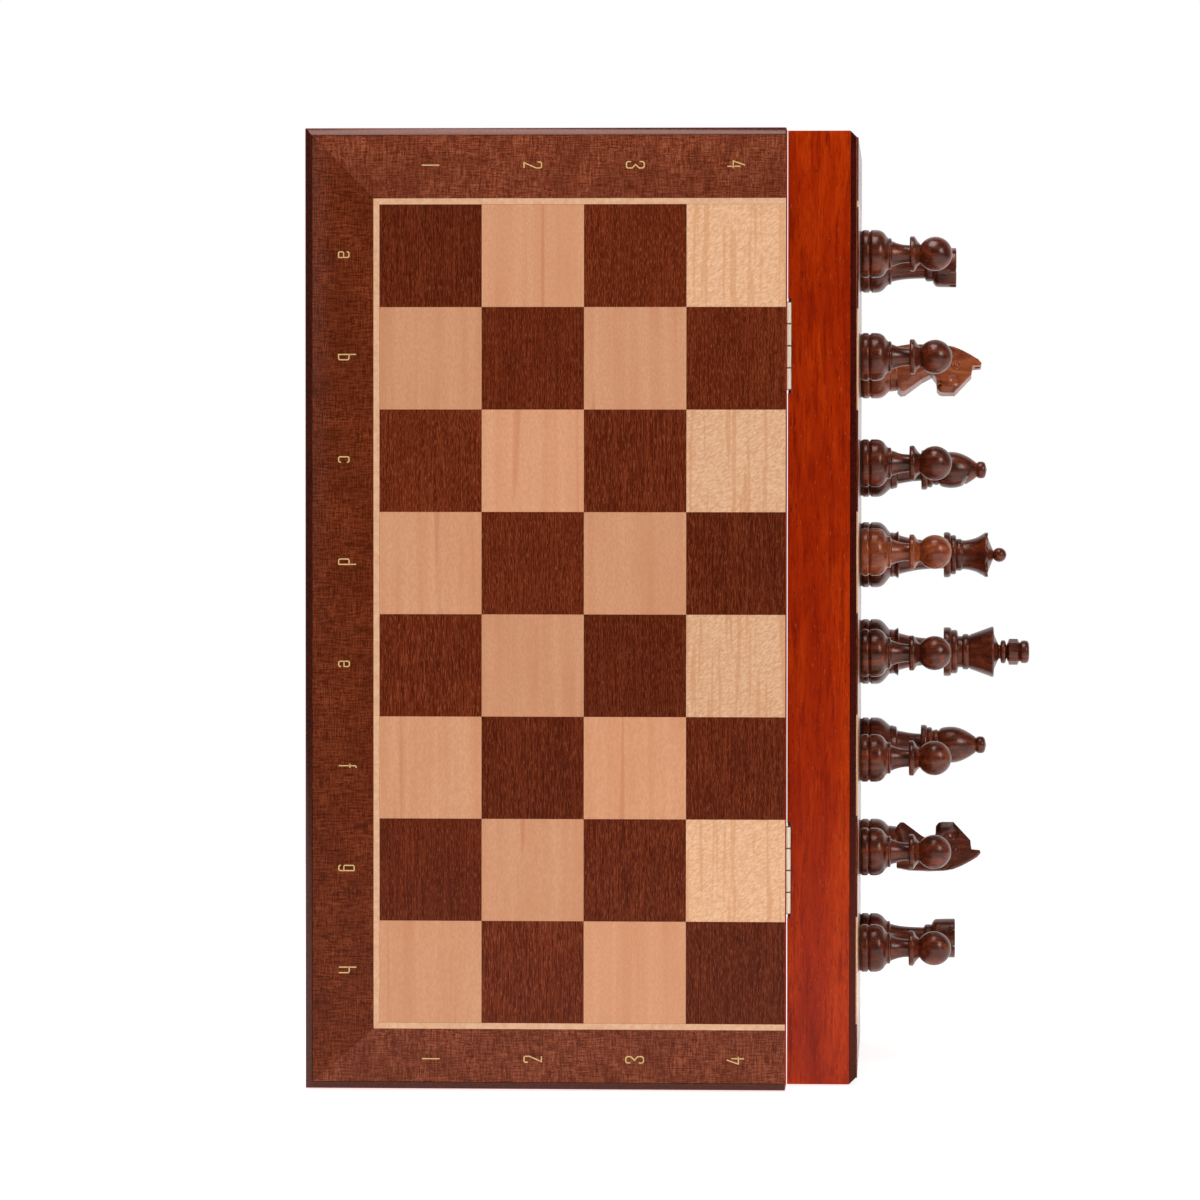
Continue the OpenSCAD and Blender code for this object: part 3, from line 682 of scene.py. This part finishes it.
def slice_prism(section_a, section_b):
    """A closed prism between two matching sections, as a mesh to cut with."""
    bm = bmesh.new()
    a, b = [[bm.verts.new(p) for p in section] for section in (section_a, section_b)]
    bm.faces.new(a)
    bm.faces.new(list(reversed(b)))
    for i in range(len(a)):
        j = (i + 1) % len(a)
        bm.faces.new((a[j], a[i], b[i], b[j]))
    bmesh.ops.recalc_face_normals(bm, faces=bm.faces)
    return plain_mesh("prism", bm)


def paring(start, end, side, width, depth, run_on):
    """The wedge that pares one edge of the head, running on past the segment at each end."""
    p, q = Vector(start), Vector(end)
    along = (q - p).normalized()
    outward = Vector((along.y, -along.x))
    sections = []
    for point, beyond in ((p, -run_on[0]), (q, run_on[1])):
        at = point + along * beyond
        section = []
        for out, drop in ((-1.4 * width, -0.4 * depth), (0.4 * width, 1.4 * depth), (0.4 * width + 3, -3)):
            place = at + outward * out
            section.append((place.x, side * (knight_half(at.y) - drop), place.y))
        sections.append(section)
    return slice_prism(*sections)


def knight_head():
    """A sawn slab with pared edges, scooped cheeks, a line at the mane and a hollow in the ear."""
    outlines = [[(s, side * knight_half(h), h) for s, h in KNIGHT] for side in (-1, 1)]
    tools = []
    for side in (-1, 1):
        for first, last, width, depth in PARED:
            for i in range(first, last):
                run_on = (0.3 if i > first else 0, 0.3 if i < last - 1 else 0)
                tools.append(paring(KNIGHT[i], KNIGHT[i + 1], side, width, depth, run_on))
        tools.append(ball(4.6, (CHEEK[0], side * (knight_half(CHEEK[1]) + 3.7), CHEEK[1])))
        mane = Matrix.Translation((MANE[0], side * knight_half(MANE[1]), MANE[1]))
        tools.append(block((4.4, 1.4, 0.6), mane @ Matrix.Rotation(-0.9, 4, "Y")))
    tools.append(ball(1.3, (EAR[0], 0, EAR[1])))
    head = cut(slice_prism(*outlines), tools, "knight_head")
    bm = bmesh.new()
    bm.from_mesh(head)
    bmesh.ops.remove_doubles(bm, verts=bm.verts, dist=0.001)
    bmesh.ops.dissolve_limit(bm, angle_limit=math.radians(2), verts=bm.verts, edges=bm.edges)
    corners = [e for e in bm.edges if e.calc_face_angle(0) > math.radians(22)]
    bmesh.ops.bevel(bm, geom=corners, offset=0.14, segments=1, profile=0.5, affect="EDGES",
                    clamp_overlap=True)
    bm.to_mesh(head)
    bm.free()
    return head


def knight_eyes(bm):
    """A raised ring with a domed eye on each side of the head."""
    tube = [(0, -0.4, 0), (2, -0.4, 0), (2, 0.1, 0.2), (1.75, 0.4, 0.2), (1.45, 0.35, 0.2), (1.2, 0.02, 0.1),
            (0.95, 0.02, 0.1), (0.8, 0.35, 0.2), (0.4, 0.5, 0.2), (0, 0.52, 0)]
    for side in (-1, 1):
        lean = Matrix.Rotation(-side * (math.pi / 2 - math.atan(KNIGHT_TAPER)), 4, "X")
        place = Matrix.Translation((EYE[0], side * (knight_half(EYE[1]) - 0.05), EYE[1])) @ lean
        before = set(bm.verts)
        lathe(bm, tube, segments=32)
        bmesh.ops.transform(bm, matrix=place, verts=[v for v in bm.verts if v not in before])


def place_dark(node, turn):
    """Stands a piece on half B, its axis along +X, over the middle of its CAD node."""
    low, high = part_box(node)
    middle = (low + high) / 2
    axes = Matrix(((0, 0, 1, FACE_B), (1, 0, 0, middle.y), (0, 1, 0, middle.z), (0, 0, 0, 1)))
    return axes @ turn_z(turn) @ Matrix.Scale(MM, 4)


def place_light(node):
    """Lays a piece in half A, its base towards the outer rail."""
    low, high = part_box(node)
    middle = (low + high) / 2
    axes = Matrix(((0, 0, 1, low.x - 0.05 * MM), (0, 1, 0, middle.y), (1, 0, 0, middle.z), (0, 0, 0, 1)))
    return axes @ Matrix.Scale(MM, 4)


# How far each piece of the back row is turned about its own axis, in degrees, from file a to file h
TURN = [10, -105, 250, 0, 0, 30, 84, 25]


def build_pieces(bodies, woods, pad_material):
    """All thirty-two pieces, each a wooden body on a felt pad."""
    for side in ("dark", "light"):
        for k in range(16):
            file = k % 8
            kind = "pawn" if k < 8 else MAJORS[file]
            node = f"{side}_{kind}_{FILES[file]}"
            turn = TURN[file] if k >= 8 else 0
            matrix = place_dark(node, turn) if side == "dark" else place_light(node)
            bm = bmesh.new()
            bm.from_mesh(bodies[kind])
            wood = make_piece(f"{node}_wood", mesh_from(node, bm, matrix), node, woods[side](node))
            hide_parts(node)
            pad = bmesh.new()
            r = BASE_R[kind] - 0.5
            lathe(pad, [(0, 0.06, 0), (r - 0.1, 0.06, 0.1), (r, 0.2, 0.1), (r, PAD_TOP - 0.02, 0.1),
                        (0, PAD_TOP - 0.01, 0)], 64)
            make_piece(f"{node}_felt", mesh_from(node + "_felt", pad, matrix), node, pad_material)


# -------------------------------------------------------- board


def strip(bm, corners, top, bottom, eased_side):
    """A flat strip of veneer from a four-cornered outline in (u, z), with one side eased."""
    upper = [bm.verts.new((u, top, z)) for u, z in corners]
    lower = [bm.verts.new((u, bottom, z)) for u, z in corners]
    bm.faces.new(upper)
    bm.faces.new(list(reversed(lower)))
    for i in range(4):
        j = (i + 1) % 4
        bm.faces.new((upper[j], upper[i], lower[i], lower[j]))
    rim = bm.edges.get((upper[eased_side], upper[(eased_side + 1) % 4]))
    bmesh.ops.bevel(bm, geom=[rim], offset=0.3 * MM, segments=2, profile=0.5, affect="EDGES")


def build_border(half, along_fold, across_fold):
    """The border veneer as three mitred strips, a hair below the inlaid letters."""
    gap = 0.05 * MM
    inner = FIELD_W + STRINGING + gap
    low, high = FIELD_LOW - STRINGING - gap, FIELD_HIGH + STRINGING + gap
    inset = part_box("border_veneer_a")[0].z
    outer = HALF_W - inset
    top, bottom = 0.02 * MM, 0.6 * MM
    bm = bmesh.new()
    strip(bm, [(inner, low), (outer, inset), (outer, SIDE - inset), (inner, high)], top, bottom, 1)
    side = make_piece(f"border_rank_{half}", mesh_from("border", bm, HALF[half]), f"half_{half}",
                      along_fold)
    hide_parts(f"border_veneer_{half}")
    for name, z_in, z_out in (("low", low, inset), ("high", high, SIDE - inset)):
        bm = bmesh.new()
        strip(bm, [(0, z_in), (inner - gap, z_in), (outer - gap, z_out), (0, z_out)], top, bottom, 2)
        make_piece(f"border_{name}_{half}", mesh_from("border", bm, HALF[half]), f"half_{half}",
                   across_fold)


def build_edge_bead(half, material):
    """The rounded bead between the panel's bevel and its veneer, mitred at the corners."""
    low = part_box("border_veneer_a")[0].z
    outer = HALF_W - low
    run = [(0, low, 0, -1), (outer, low, 1, -1), (outer, SIDE - low, 1, 1), (0, SIDE - low, 0, 1)]
    profile = [(0.03, 0.59), (0.03, 0.04), (0.12, 0.03), (0.3, 0.16), (0.38, 0.36), (0.39, 0.59)]
    bm = bmesh.new()
    rows = [[bm.verts.new((u + out * MM * du, v * MM, z + out * MM * dz)) for out, v in profile]
            for u, z, du, dz in run]
    for a, b in zip(rows, rows[1:]):
        for i in range(len(profile)):
            j = (i + 1) % len(profile)
            bm.faces.new((a[i], a[j], b[j], b[i]))
    bm.faces.new(list(reversed(rows[0])))
    bm.faces.new(rows[-1])
    make_piece(f"edge_bead_{half}", mesh_from("bead", bm, HALF[half]), f"half_{half}", material)


# Single-stroke signs, in mm: lists of strokes, x to the right and y up from the baseline
SIGNS = {
    "a": [[(0, 3.3), (0, 3.7), (0.4, 4.1), (1.8, 4.1), (2.2, 3.7), (2.2, -0.1)],
          [(2.2, 0), (0.4, 0), (0, 0.4), (0, 1.6), (0.4, 2), (2.2, 2)]],
    "b": [[(0, 6.95), (0, 0), (1.7, 0), (2.1, 0.4), (2.1, 3.7), (1.7, 4.1), (0, 4.1)]],
    "c": [[(2.1, 3.3), (2.1, 3.7), (1.7, 4.1), (0.4, 4.1), (0, 3.7), (0, 0.4), (0.4, 0), (1.7, 0), (2.1, 0.4),
           (2.1, 0.9)]],
    "d": [[(2.1, 6.95), (2.1, 0), (0.4, 0), (0, 0.4), (0, 3.7), (0.4, 4.1), (2.1, 4.1)]],
    "e": [[(2.1, 0.9), (2.1, 0.4), (1.7, 0), (0.4, 0), (0, 0.4), (0, 3.8), (0.4, 4.2), (1.7, 4.2), (2.1, 3.8),
           (2.1, 2.1), (0, 2.1)]],
    "f": [[(0.7, 0), (0.7, 6.5), (1.1, 6.9), (1.6, 6.9)], [(0, 4.4), (1.5, 4.4)]],
    "g": [[(2.1, 2), (0.4, 2), (0, 2.4), (0, 5.7), (0.4, 6.1), (2.1, 6.1)],
          [(2.1, 6.3), (2.1, 0.4), (1.7, 0), (0.4, 0), (0, 0.4), (0, 0.8)]],
    "h": [[(0, 6.95), (0, 0)], [(0, 4.1), (1.8, 4.1), (2.2, 3.7), (2.2, 0)]],
    "1": [[(1.2, 0), (1.2, 6.95)]],
    "2": [[(0, 5.3), (0, 6.5), (0.4, 6.9), (1.95, 6.9), (2.35, 6.5), (2.35, 4.8), (0.25, 0), (2.35, 0)]],
    "3": [[(0, 5.2), (0, 6.4), (0.5, 7), (2, 7), (2.5, 6.4), (2.5, 5), (1.1, 3.6), (2.5, 2.3), (2.5, 0.5),
           (2, 0), (0.5, 0), (0, 0.5), (0, 1.8)]],
    "4": [[(1.6, 6.95), (0, 2.3), (2.9, 2.3)], [(2.1, 5), (2.1, 0)]],
    "5": [[(2.4, 6.95), (0, 6.95), (0, 4), (1.9, 4), (2.4, 3.5), (2.4, 0.5), (1.9, 0), (0.5, 0), (0, 0.5),
           (0, 1.4)]],
    "6": [[(2.4, 5.9), (2.4, 6.5), (1.9, 7), (0.5, 7), (0, 6.5), (0, 0.5), (0.5, 0), (1.9, 0), (2.4, 0.5),
           (2.4, 3.4), (1.9, 3.9), (0, 3.9)]],
    "7": [[(0, 6.95), (2.4, 6.95), (2.4, 6.3), (1, 0)]],
    "8": [[(0.5, 3.6), (0, 3.1), (0, 0.5), (0.5, 0), (1.9, 0), (2.4, 0.5), (2.4, 3.1), (1.9, 3.6), (0.5, 3.6),
           (0, 4.1), (0, 6.5), (0.5, 7), (1.9, 7), (2.4, 6.5), (2.4, 4.1), (1.9, 3.6)]],
}
STROKE = 0.44
INLAY_DEPTH = 0.3
# The figure 1 stands in the width of the others
ONE_WIDTH = 2.4


def ribbon(bm, points, matrix):
    """One stroke as a thin solid ribbon with mitred bends."""
    pts = [Vector(p) for p in points]
    last = len(pts) - 1
    sides = []
    for i, p in enumerate(pts):
        before = (p - pts[i - 1]).normalized() if i else (pts[1] - p).normalized()
        after = (pts[i + 1] - p).normalized() if i < last else before
        tangent = (before + after).normalized()
        normal = Vector((-tangent.y, tangent.x))
        reach = STROKE / 2 / max(0.5, normal.dot(Vector((-after.y, after.x))))
        sides.append((p + normal * reach, p - normal * reach))
    top, bottom = [[[bm.verts.new(matrix @ Vector((p.x, p.y, depth))) for p in pair] for pair in sides]
                   for depth in (0, INLAY_DEPTH)]
    for i in range(last):
        bm.faces.new((top[i][0], top[i][1], top[i + 1][1], top[i + 1][0]))
        bm.faces.new((bottom[i][1], bottom[i][0], bottom[i + 1][0], bottom[i + 1][1]))
        for k in (0, 1):
            bm.faces.new((top[i][k], top[i + 1][k], bottom[i + 1][k], bottom[i][k]))
    for i in (0, last):
        bm.faces.new((top[i][0], bottom[i][0], bottom[i][1], top[i][1]))


def sign(bm, glyph, u, z, half, away):
    """A letter or figure centred on z, its baseline on u. Away turns its top from the fold."""
    up = MM if away else -MM
    right = up if half == "a" else -up
    place = Matrix(((0, up, 0, u), (0, 0, MM, 0), (right, 0, 0, z), (0, 0, 0, 1)))
    width = max(x for stroke in SIGNS[glyph] for x, _ in stroke)
    if glyph == "1":
        width = ONE_WIDTH
    for stroke in SIGNS[glyph]:
        ribbon(bm, stroke, place @ Matrix.Translation((-width / 2, 0, 0)))


# Signs: how far in from the edges they stand, half their height, and the letters' shift up
FILE_SIGN_IN = 13.5 * MM
HIGH_SIGN_IN, LOW_SIGN_IN = 14.8 * MM, 12.2 * MM
SIGN_HALF_H = 3.5 * MM
LETTER_UP = 0.5 * MM


def build_signs(half, material):
    """Letters beside the outer rank, and figures at both ends of each rank."""
    bm = bmesh.new()
    for f, letter in enumerate(FILES):
        middle = FIELD_HIGH - (f + 0.5) * SQUARE + LETTER_UP
        sign(bm, letter, HALF_W - FILE_SIGN_IN, middle, half, False)
    for rank in range(4):
        figure = str(4 - rank) if half == "a" else str(5 + rank)
        middle = (rank + 0.5) * SQUARE - FOLD_TRIM * (1 if rank else 0.5)
        for z, away in ((SIDE - HIGH_SIGN_IN, half == "b"), (LOW_SIGN_IN, half == "a")):
            sign(bm, figure, middle + (-SIGN_HALF_H if away else SIGN_HALF_H), z, half, away)
    make_piece(f"inlaid_signs_{half}", mesh_from("signs", bm, HALF[half]), f"half_{half}", material)


# The foam insert: its rows, its two columns of compartments, and its levels under the playing face
INSERT_IN = 9.3 * MM
ROW_PITCH = 44 * MM
MAJOR_FROM_END = (80 * MM, 6 * MM)
PAWN_FROM_MAJOR = (76 * MM, 14 * MM)
POCKET_SLACK = 1.2
INSERT_UNDER, INSERT_FLOOR, INSERT_TOP = 3.7 * MM, 5.25 * MM, 19.7 * MM


def build_insert(half, material):
    """One foam block per half, with its eight rows of compartments cut out of it."""
    node = f"storage_insert_{half}"
    low_z, high_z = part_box(node)[0].z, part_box(node)[1].z
    start, end = INSERT_IN, HALF_W - INSERT_IN
    major = tuple(end - d for d in MAJOR_FROM_END)
    pawn = tuple(major[0] - d for d in PAWN_FROM_MAJOR)
    rows = [SIDE / 2 + (3.5 - i) * ROW_PITCH for i in range(8)]
    widths = {"major": [2 * BASE_R[k] + POCKET_SLACK for k in MAJORS],
              "pawn": [2 * BASE_R["pawn"] + POCKET_SLACK] * 8}
    pockets = [(u, (z - w * MM / 2, z + w * MM / 2)) for key, u in (("major", major), ("pawn", pawn))
               for z, w in zip(rows, widths[key])]
    us = sorted({start, end, *major, *pawn})
    zs = sorted({low_z, high_z, *[z for _, span in pockets for z in span]})
    under, floor, top = INSERT_UNDER, INSERT_FLOOR, INSERT_TOP

    def hollow(u, z):
        return any(p[0] < u < p[1] and s[0] < z < s[1] for p, s in pockets)

    bm = bmesh.new()
    verts = {}

    def vert(u, v, z):
        flat_u = HALF_W - u if half == "b" else u
        key = (round(u, 7), round(v, 7), round(z, 7))
        if key not in verts:
            verts[key] = bm.verts.new((flat_u, v, z))
        return verts[key]

    cells = {}
    for i in range(len(us) - 1):
        for j in range(len(zs) - 1):
            cells[i, j] = floor if hollow((us[i] + us[i + 1]) / 2, (zs[j] + zs[j + 1]) / 2) else top
    for (i, j), v in cells.items():
        bm.faces.new((vert(us[i], v, zs[j]), vert(us[i + 1], v, zs[j]), vert(us[i + 1], v, zs[j + 1]),
                      vert(us[i], v, zs[j + 1])))
        bm.faces.new((vert(us[i], under, zs[j]), vert(us[i], under, zs[j + 1]),
                      vert(us[i + 1], under, zs[j + 1]), vert(us[i + 1], under, zs[j])))
        for di, dj, a, b in ((-1, 0, (i, j), (i, j + 1)), (1, 0, (i + 1, j), (i + 1, j + 1)),
                             (0, -1, (i, j), (i + 1, j)), (0, 1, (i, j + 1), (i + 1, j + 1))):
            other = cells.get((i + di, j + dj), under)
            if other < v:
                bm.faces.new((vert(us[a[0]], v, zs[a[1]]), vert(us[b[0]], v, zs[b[1]]),
                              vert(us[b[0]], other, zs[b[1]]), vert(us[a[0]], other, zs[a[1]])))
    bmesh.ops.recalc_face_normals(bm, faces=bm.faces)
    bmesh.ops.dissolve_limit(bm, angle_limit=math.radians(1), verts=bm.verts, edges=bm.edges)
    rims = [e for e in bm.edges if len(e.link_faces) == 2 and e.calc_face_angle(0) > math.radians(40)
            and all(abs(v.co.y - top) < 1e-6 for v in e.verts)]
    bmesh.ops.bevel(bm, geom=rims, offset=0.9 * MM, segments=3, profile=0.5, affect="EDGES",
                    clamp_overlap=True)
    piece = make_piece(f"foam_insert_{half}", mesh_from(node, bm, HALF[half]), f"half_{half}", material)
    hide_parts(node)


# -------------------------------------------------------- build

SIDE_TONES = (srgb(77, 26, 8), srgb(105, 42, 18), srgb(132, 62, 33), srgb(150, 84, 52))
END_TONES = (srgb(90, 36, 18), srgb(122, 56, 33), srgb(152, 82, 54), srgb(168, 108, 90))
MATERIALS = {
    "rail_up": stained_rail("stained_rail_upright", 2),
    "fold_rail_a": stained_rail("stained_rail_fold_a", 2, 0.0),
    "fold_rail_b": stained_rail("stained_rail_fold_b", 2),
    "rail_a": stained_rail("stained_rail_across_a", 0),
    "rail_b": stained_rail("stained_rail_across_b", 1),
    "edge_a": panel_edge_wood("panel_edge_a", srgb(46, 14, 6), srgb(76, 27, 15)),
    "edge_b": panel_edge_wood("panel_edge_b", srgb(48, 8, 3), srgb(74, 18, 9)),
    "border_up_a": border_wood("border_upright_a", 2, 0, SIDE_TONES),
    "border_up_b": border_wood("border_upright_b", 2, 1, SIDE_TONES),
    "border_a": border_wood("border_across_a", 0, 2, END_TONES),
    "border_b": border_wood("border_across_b", 1, 2, END_TONES),
    "stringing": stringing_wood(),
    "felt": felt(),
    "foam": foam(),
    "brass": brass(),
    "steel": nickel("steel_sheet", srgb(165, 166, 168), 0.35),
    "nickel": nickel("nickel_plate", srgb(205, 205, 208), 0.35),
    "gold": gold_inlay(),
}
DARK_WOOD = piece_wood("dark_turned_wood", srgb(54, 17, 7), srgb(92, 35, 17), srgb(132, 60, 32))
DARK_WOOD_WARM = piece_wood("dark_turned_wood_warm", srgb(112, 47, 22), srgb(146, 70, 36),
                            srgb(172, 94, 54))
LIGHT_WOOD = piece_wood("light_turned_wood", srgb(196, 144, 92), srgb(218, 170, 116), srgb(234, 194, 142))
WARM_NODES = ("dark_pawn_d", "dark_knight_b")
WOODS = {
    "dark": lambda node: DARK_WOOD_WARM if node in WARM_NODES else DARK_WOOD,
    "light": lambda node: LIGHT_WOOD,
}


def paint(node, material):
    slots = frame["nodes"][node].data.materials
    slots.clear()
    slots.append(material)


for half in HALVES:
    paint(f"light_squares_{half}", light_square_wood(half))
    paint(f"dark_squares_{half}", dark_square_wood(half))
    paint(f"stringing_{half}", MATERIALS["stringing"])
    paint(f"steel_sheet_{half}", MATERIALS["steel"])
    paint(f"closure_magnets_{half}", MATERIALS["nickel"])
    paint(f"hinge_leaves_{half}", MATERIALS["brass"])
    paint(f"hinge_screws_{half}", MATERIALS["brass"])
    build_border(half, MATERIALS[f"border_up_{half}"], MATERIALS[f"border_{half}"])
    build_edge_bead(half, MATERIALS[f"edge_{half}"])
    build_signs(half, MATERIALS["gold"])
    build_insert(half, MATERIALS["foam"])
    eased(f"panel_core_{half}", 0.25 * MM, MATERIALS[f"edge_{half}"])
    eased(f"outer_rail_{half}", 0.4 * MM, MATERIALS["rail_up"])
    eased(f"fold_rail_{half}", 0.4 * MM, MATERIALS[f"fold_rail_{half}"])
    eased(f"end_rails_{half}", 0.4 * MM, MATERIALS[f"rail_{half}"])
paint("hinge_pins", MATERIALS["brass"])

BODIES = {kind: wood_body(kind) for kind in BASE_R}
build_pieces(BODIES, WOODS, MATERIALS["felt"])

# -------------------------------------------------------- stage, light and camera

FOOT = cad_box[0].z
FLOOR_SIZE = 2.4


def plane(name, size, location, turn=(0, 0, 0)):
    bm = bmesh.new()
    bmesh.ops.create_grid(bm, x_segments=2, y_segments=2, size=size / 2)
    item = add_object(name, plain_mesh(name, bm))
    item.location = location
    item.rotation_euler = turn
    return item


floor_tree = Tree("pale_floor")
floor_speck = floor_tree.noise(floor_tree.scaled((3, 3, 3)), 1.0, 2, 0.5)
floor_colour = floor_tree.ramp(floor_speck, [(0.3, (0.58, 0.58, 0.58)), (0.7, (0.6, 0.6, 0.6))])
floor_tree.finish(floor_colour, 0.9, Emission_Color=(1, 1, 1, 1), Emission_Strength=0.78,
                  Specular_IOR_Level=0.1)
floor = plane("floor", FLOOR_SIZE, (0, 0, FOOT - 0.5 * MM))
floor.data.materials.append(floor_tree.material)

# The background is white. What the lacquer mirrors is white behind the object and dim in front of it.
world = bpy.data.worlds.new("studio")
bpy.context.scene.world = world
world.use_nodes = True
world_nodes, world_links = world.node_tree.nodes, world.node_tree.links
background = world_nodes["Background"]
bright = world_nodes.new("ShaderNodeBackground")
rays = world_nodes.new("ShaderNodeLightPath")
switch = world_nodes.new("ShaderNodeMixShader")
direction = world_nodes.new("ShaderNodeTexCoord")
parts = world_nodes.new("ShaderNodeSeparateXYZ")
strength = world_nodes.new("ShaderNodeMapRange")
strength.interpolation_type = "SMOOTHSTEP"
for name, value in (("From Min", 0.2), ("From Max", 0.75), ("To Min", 0.1), ("To Max", 1.0)):
    strength.inputs[name].default_value = value
background.inputs["Color"].default_value = (1, 1, 1, 1)
bright.inputs["Color"].default_value = (1, 1, 1, 1)
bright.inputs["Strength"].default_value = 1.0
world_links.new(direction.outputs["Generated"], parts.inputs[0])
world_links.new(parts.outputs["Y"], strength.inputs["Value"])
world_links.new(strength.outputs["Result"], background.inputs["Strength"])
world_links.new(rays.outputs["Is Camera Ray"], switch.inputs["Fac"])
world_links.new(background.outputs["Background"], switch.inputs[1])
world_links.new(bright.outputs["Background"], switch.inputs[2])
world_links.new(switch.outputs["Shader"], world_nodes["World Output"].inputs["Surface"])


def softbox(name, location, target, size, power):
    lamp = bpy.data.lights.new(name, "AREA")
    lamp.shape = "RECTANGLE"
    lamp.size, lamp.size_y = size
    lamp.energy = power
    item = add_object(name, lamp)
    item.location = location
    item.rotation_euler = (Vector(target) - Vector(location)).to_track_quat("-Z", "Y").to_euler()
    item.visible_camera = False
    return item


MIDDLE = (0, 0, SIDE / 2)
softbox("top_light", (-0.15, -0.3, 1.3), MIDDLE, (0.7, 0.7), 10)
softbox("right_light", (1.2, -1.15, 0.9), MIDDLE, (0.5, 0.6), 9.5)
softbox("left_light", (-1.5, -1.5, 0.7), MIDDLE, (0.8, 1.0), 5)

# The camera, measured from the fold plane and the playing face of half A
CAMERA_YAW, CAMERA_PITCH, CAMERA_ROLL = 0.0503, 0.0241, 0.00065
CAMERA_LENS = 181.4
CAMERA_RIGHT, CAMERA_BACK, CAMERA_UP = 46.75 * MM, 2380.75 * MM, 251.3 * MM
camera_data = bpy.data.cameras.new("camera")
camera_data.lens = CAMERA_LENS
camera_data.sensor_width = 36
camera_data.clip_end = 100
camera = add_object("camera", camera_data)
forward = Vector((-math.sin(CAMERA_YAW) * math.cos(CAMERA_PITCH),
                  math.cos(CAMERA_YAW) * math.cos(CAMERA_PITCH), -math.sin(CAMERA_PITCH)))
level = Vector((math.cos(CAMERA_YAW), math.sin(CAMERA_YAW), 0))
upright = level.cross(forward)
right = level * math.cos(CAMERA_ROLL) + upright * math.sin(CAMERA_ROLL)
up = upright * math.cos(CAMERA_ROLL) - level * math.sin(CAMERA_ROLL)
place = Vector((FOLD_A + CAMERA_RIGHT, FACE_A - CAMERA_BACK, CAMERA_UP))
camera.matrix_world = Matrix.Translation(place) @ Matrix((right, up, -forward)).transposed().to_4x4()
bpy.context.scene.camera = camera

bpy.context.scene.view_settings.view_transform = "Standard"
bpy.context.scene.view_settings.look = "None"
